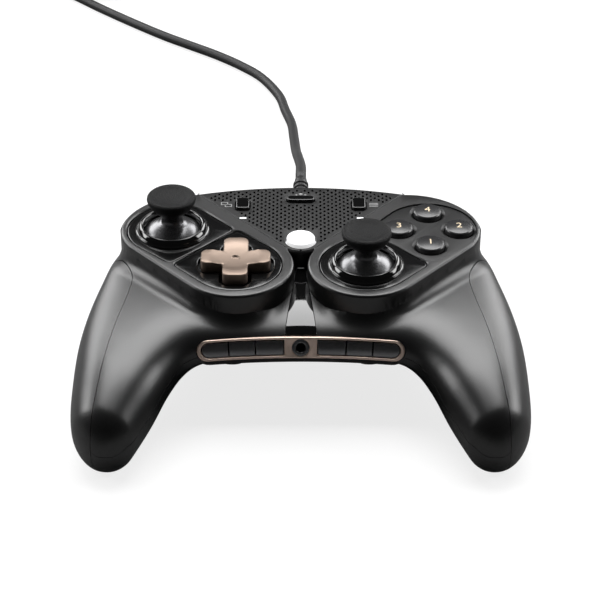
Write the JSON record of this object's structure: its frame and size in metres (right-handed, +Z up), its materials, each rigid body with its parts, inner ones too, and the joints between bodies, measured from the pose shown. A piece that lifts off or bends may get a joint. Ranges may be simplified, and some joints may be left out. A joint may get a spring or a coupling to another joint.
{
  "type": "wired gamepad controller",
  "caption": "Wired two-handed gamepad with lift-out thumbstick and cross pad modules, face buttons, triggers, bumpers, rear buttons and a cord put away in a coil.",
  "frame": {"origin": "on the table under the middle of the controller, cord left out", "axes": "+X to the player's right, +Y away from the player towards the cord, +Z up out of the face"},
  "size_m": [0.2178, 0.4514, 0.0595],
  "materials": {
    "soft_black": "soft matte",
    "grip_black": "fine grained matte",
    "satin_black": "satin",
    "textured_black": "fine perforated texture",
    "piano_black": "high gloss",
    "copper": "satin metallic",
    "smoke_grey": "gloss",
    "white_light": "lit white",
    "cap_rubber": "matte",
    "membrane_rubber": "matte",
    "cord_rubber": "satin",
    "plug_plastic": "matte",
    "steel": "plain",
    "pale_plastic": "plain",
    "board_green": "lacquered"
  },
  "bodies": {
    "housing": {"top_shell": "soft_black", "bottom_shell": "soft_black", "left_side_grip": "grip_black", "right_side_grip": "grip_black", "centre_panel": "textured_black", "centre_strip": "piano_black", "front_bezel": "copper", "headset_jack": "piano_black", "main_board": "board_green", "upper_board": "board_green", "housing_screws": "steel", "rumble_motors": "steel", "button_plate": "satin_black", "button_membrane": "membrane_rubber", "hinge_pins": "steel", "trigger_brackets": "steel", "trigger_springs": "steel", "cable_boot": "cord_rubber", "cord": "cord_rubber", "cord_coil": "cord_rubber", "usb_plug": "plug_plastic"},
    "left_stick_unit_body": {"left_stick_module": "satin_black", "left_stick_collar": "piano_black"},
    "left_stick_cradle_body": {"left_stick_cradle": "pale_plastic"},
    "left_stick_gimbal_body": {"left_stick_gimbal": "steel"},
    "left_stick_shaft_body": {"left_stick_shaft": "piano_black", "left_stick_cap": "cap_rubber"},
    "right_stick_unit_body": {"right_stick_module": "satin_black", "right_stick_collar": "piano_black"},
    "right_stick_cradle_body": {"right_stick_cradle": "pale_plastic"},
    "right_stick_gimbal_body": {"right_stick_gimbal": "steel"},
    "right_stick_shaft_body": {"right_stick_shaft": "piano_black", "right_stick_cap": "cap_rubber"},
    "dpad_unit_body": {"dpad_module": "satin_black"},
    "dpad_pivot_body": {"dpad_pivot": "steel"},
    "dpad_cross_body": {"dpad_cross": "copper"},
    "face_button_front_body": {"face_button_front": "smoke_grey"},
    "face_button_right_body": {"face_button_right": "smoke_grey"},
    "face_button_left_body": {"face_button_left": "smoke_grey"},
    "face_button_back_body": {"face_button_back": "smoke_grey"},
    "view_button_body": {"view_button": "piano_black"},
    "menu_button_body": {"menu_button": "piano_black"},
    "share_button_body": {"share_button": "piano_black"},
    "guide_button_body": {"guide_button": "white_light"},
    "bar_button_1_body": {"bar_button_1": "smoke_grey"},
    "bar_button_2_body": {"bar_button_2": "smoke_grey"},
    "bar_button_3_body": {"bar_button_3": "smoke_grey"},
    "bar_button_4_body": {"bar_button_4": "smoke_grey"},
    "bar_button_5_body": {"bar_button_5": "smoke_grey"},
    "bar_button_6_body": {"bar_button_6": "smoke_grey"},
    "left_bumper_body": {"left_bumper": "satin_black"},
    "left_trigger_body": {"left_trigger": "satin_black"},
    "left_rumble_weight_body": {"left_rumble_weight": "steel"},
    "right_bumper_body": {"right_bumper": "satin_black"},
    "right_trigger_body": {"right_trigger": "satin_black"},
    "right_rumble_weight_body": {"right_rumble_weight": "steel"},
    "rear_button_1_body": {"rear_button_1": "satin_black"},
    "rear_button_2_body": {"rear_button_2": "satin_black"},
    "rear_button_3_body": {"rear_button_3": "satin_black"},
    "rear_button_4_body": {"rear_button_4": "satin_black"}
  },
  "joints": [
    {"name": "left_stick_lift_off", "type": "slide", "parent": "housing", "child": "left_stick_unit_body", "axis": [0, 0, 1], "range_m": [0, 0.02]},
    {"name": "left_stick_click", "type": "slide", "parent": "left_stick_unit_body", "child": "left_stick_cradle_body", "axis": [0, 0, -1], "range_m": [0, 0.0005], "stiffness_N_per_m": 800, "springref_m": -0.001},
    {"name": "left_stick_tilt_x", "type": "hinge", "parent": "left_stick_cradle_body", "child": "left_stick_gimbal_body", "pos_m": [-0.0473, 0.0293, 0.0335], "axis": [1, 0, 0], "range_deg": [-18, 18], "stiffness_Nm_per_rad": 0.03},
    {"name": "left_stick_tilt_y", "type": "hinge", "parent": "left_stick_gimbal_body", "child": "left_stick_shaft_body", "pos_m": [-0.0473, 0.0293, 0.0335], "axis": [0, 1, 0], "range_deg": [-18, 18], "stiffness_Nm_per_rad": 0.03},
    {"name": "right_stick_lift_off", "type": "slide", "parent": "housing", "child": "right_stick_unit_body", "axis": [0, 0, 1], "range_m": [0, 0.02]},
    {"name": "right_stick_click", "type": "slide", "parent": "right_stick_unit_body", "child": "right_stick_cradle_body", "axis": [0, 0, -1], "range_m": [0, 0.0005], "stiffness_N_per_m": 800, "springref_m": -0.001},
    {"name": "right_stick_tilt_x", "type": "hinge", "parent": "right_stick_cradle_body", "child": "right_stick_gimbal_body", "pos_m": [0.0234, 0.0058, 0.0335], "axis": [1, 0, 0], "range_deg": [-18, 18], "stiffness_Nm_per_rad": 0.03},
    {"name": "right_stick_tilt_y", "type": "hinge", "parent": "right_stick_gimbal_body", "child": "right_stick_shaft_body", "pos_m": [0.0234, 0.0058, 0.0335], "axis": [0, 1, 0], "range_deg": [-18, 18], "stiffness_Nm_per_rad": 0.03},
    {"name": "dpad_lift_off", "type": "slide", "parent": "housing", "child": "dpad_unit_body", "axis": [0, 0, 1], "range_m": [0, 0.02]},
    {"name": "dpad_rock_x", "type": "hinge", "parent": "dpad_unit_body", "child": "dpad_pivot_body", "pos_m": [-0.0234, 0.0058, 0.0376], "axis": [1, 0, 0], "range_deg": [-6, 6], "stiffness_Nm_per_rad": 0.05},
    {"name": "dpad_rock_y", "type": "hinge", "parent": "dpad_pivot_body", "child": "dpad_cross_body", "pos_m": [-0.0234, 0.0058, 0.0376], "axis": [0, 1, 0], "range_deg": [-6, 6], "stiffness_Nm_per_rad": 0.05},
    {"name": "face_button_front_press", "type": "slide", "parent": "housing", "child": "face_button_front_body", "axis": [0, 0, -1], "range_m": [0, 0.001], "stiffness_N_per_m": 400, "springref_m": -0.0006},
    {"name": "face_button_right_press", "type": "slide", "parent": "housing", "child": "face_button_right_body", "axis": [0, 0, -1], "range_m": [0, 0.001], "stiffness_N_per_m": 400, "springref_m": -0.0006},
    {"name": "face_button_left_press", "type": "slide", "parent": "housing", "child": "face_button_left_body", "axis": [0, 0, -1], "range_m": [0, 0.001], "stiffness_N_per_m": 400, "springref_m": -0.0006},
    {"name": "face_button_back_press", "type": "slide", "parent": "housing", "child": "face_button_back_body", "axis": [0, 0, -1], "range_m": [0, 0.001], "stiffness_N_per_m": 400, "springref_m": -0.0006},
    {"name": "view_button_press", "type": "slide", "parent": "housing", "child": "view_button_body", "axis": [0, 0, -1], "range_m": [0, 0.0007], "stiffness_N_per_m": 400, "springref_m": -0.0006},
    {"name": "menu_button_press", "type": "slide", "parent": "housing", "child": "menu_button_body", "axis": [0, 0, -1], "range_m": [0, 0.0007], "stiffness_N_per_m": 400, "springref_m": -0.0006},
    {"name": "share_button_press", "type": "slide", "parent": "housing", "child": "share_button_body", "axis": [0, 0, -1], "range_m": [0, 0.0007], "stiffness_N_per_m": 400, "springref_m": -0.0006},
    {"name": "guide_button_press", "type": "slide", "parent": "housing", "child": "guide_button_body", "axis": [0, 0, -1], "range_m": [0, 0.0007], "stiffness_N_per_m": 400, "springref_m": -0.0006},
    {"name": "bar_button_1_press", "type": "slide", "parent": "housing", "child": "bar_button_1_body", "axis": [0, 0.9397, -0.342], "range_m": [0, 0.0005], "stiffness_N_per_m": 400, "springref_m": -0.0006},
    {"name": "bar_button_2_press", "type": "slide", "parent": "housing", "child": "bar_button_2_body", "axis": [0, 0.9397, -0.342], "range_m": [0, 0.0005], "stiffness_N_per_m": 400, "springref_m": -0.0006},
    {"name": "bar_button_3_press", "type": "slide", "parent": "housing", "child": "bar_button_3_body", "axis": [0, 0.9397, -0.342], "range_m": [0, 0.0005], "stiffness_N_per_m": 400, "springref_m": -0.0006},
    {"name": "bar_button_4_press", "type": "slide", "parent": "housing", "child": "bar_button_4_body", "axis": [0, 0.9397, -0.342], "range_m": [0, 0.0005], "stiffness_N_per_m": 400, "springref_m": -0.0006},
    {"name": "bar_button_5_press", "type": "slide", "parent": "housing", "child": "bar_button_5_body", "axis": [0, 0.9397, -0.342], "range_m": [0, 0.0005], "stiffness_N_per_m": 400, "springref_m": -0.0006},
    {"name": "bar_button_6_press", "type": "slide", "parent": "housing", "child": "bar_button_6_body", "axis": [0, 0.9397, -0.342], "range_m": [0, 0.0005], "stiffness_N_per_m": 400, "springref_m": -0.0006},
    {"name": "left_bumper_press", "type": "hinge", "parent": "housing", "child": "left_bumper_body", "pos_m": [-0.014, 0.06, 0.0382], "axis": [0, -1, 0], "range_deg": [0, 2], "stiffness_Nm_per_rad": 0.3, "springref_deg": -5.73},
    {"name": "left_trigger_pull", "type": "hinge", "parent": "housing", "child": "left_trigger_body", "pos_m": [-0.04, 0.05, 0.027], "axis": [-1, 0, 0], "range_deg": [0, 18], "stiffness_Nm_per_rad": 0.05, "springref_deg": -17.19},
    {"name": "left_rumble_spin", "type": "hinge", "parent": "housing", "child": "left_rumble_weight_body", "pos_m": [-0.06602, -0.04346, 0.015], "axis": [1, 0, 0], "continuous": true},
    {"name": "right_bumper_press", "type": "hinge", "parent": "housing", "child": "right_bumper_body", "pos_m": [0.014, 0.06, 0.0382], "axis": [0, 1, 0], "range_deg": [0, 2], "stiffness_Nm_per_rad": 0.3, "springref_deg": -5.73},
    {"name": "right_trigger_pull", "type": "hinge", "parent": "housing", "child": "right_trigger_body", "pos_m": [0.04, 0.05, 0.027], "axis": [-1, 0, 0], "range_deg": [0, 18], "stiffness_Nm_per_rad": 0.05, "springref_deg": -17.19},
    {"name": "right_rumble_spin", "type": "hinge", "parent": "housing", "child": "right_rumble_weight_body", "pos_m": [0.06602, -0.04346, 0.015], "axis": [1, 0, 0], "continuous": true},
    {"name": "rear_button_1_press", "type": "slide", "parent": "housing", "child": "rear_button_1_body", "axis": [0, 0.3746, 0.9272], "range_m": [0, 0.0008], "stiffness_N_per_m": 400, "springref_m": -0.0006},
    {"name": "rear_button_2_press", "type": "slide", "parent": "housing", "child": "rear_button_2_body", "axis": [0, 0.3746, 0.9272], "range_m": [0, 0.0008], "stiffness_N_per_m": 400, "springref_m": -0.0006},
    {"name": "rear_button_3_press", "type": "slide", "parent": "housing", "child": "rear_button_3_body", "axis": [0, 0.3746, 0.9272], "range_m": [0, 0.0008], "stiffness_N_per_m": 400, "springref_m": -0.0006},
    {"name": "rear_button_4_press", "type": "slide", "parent": "housing", "child": "rear_button_4_body", "axis": [0, 0.3746, 0.9272], "range_m": [0, 0.0008], "stiffness_N_per_m": 400, "springref_m": -0.0006}
  ]
}
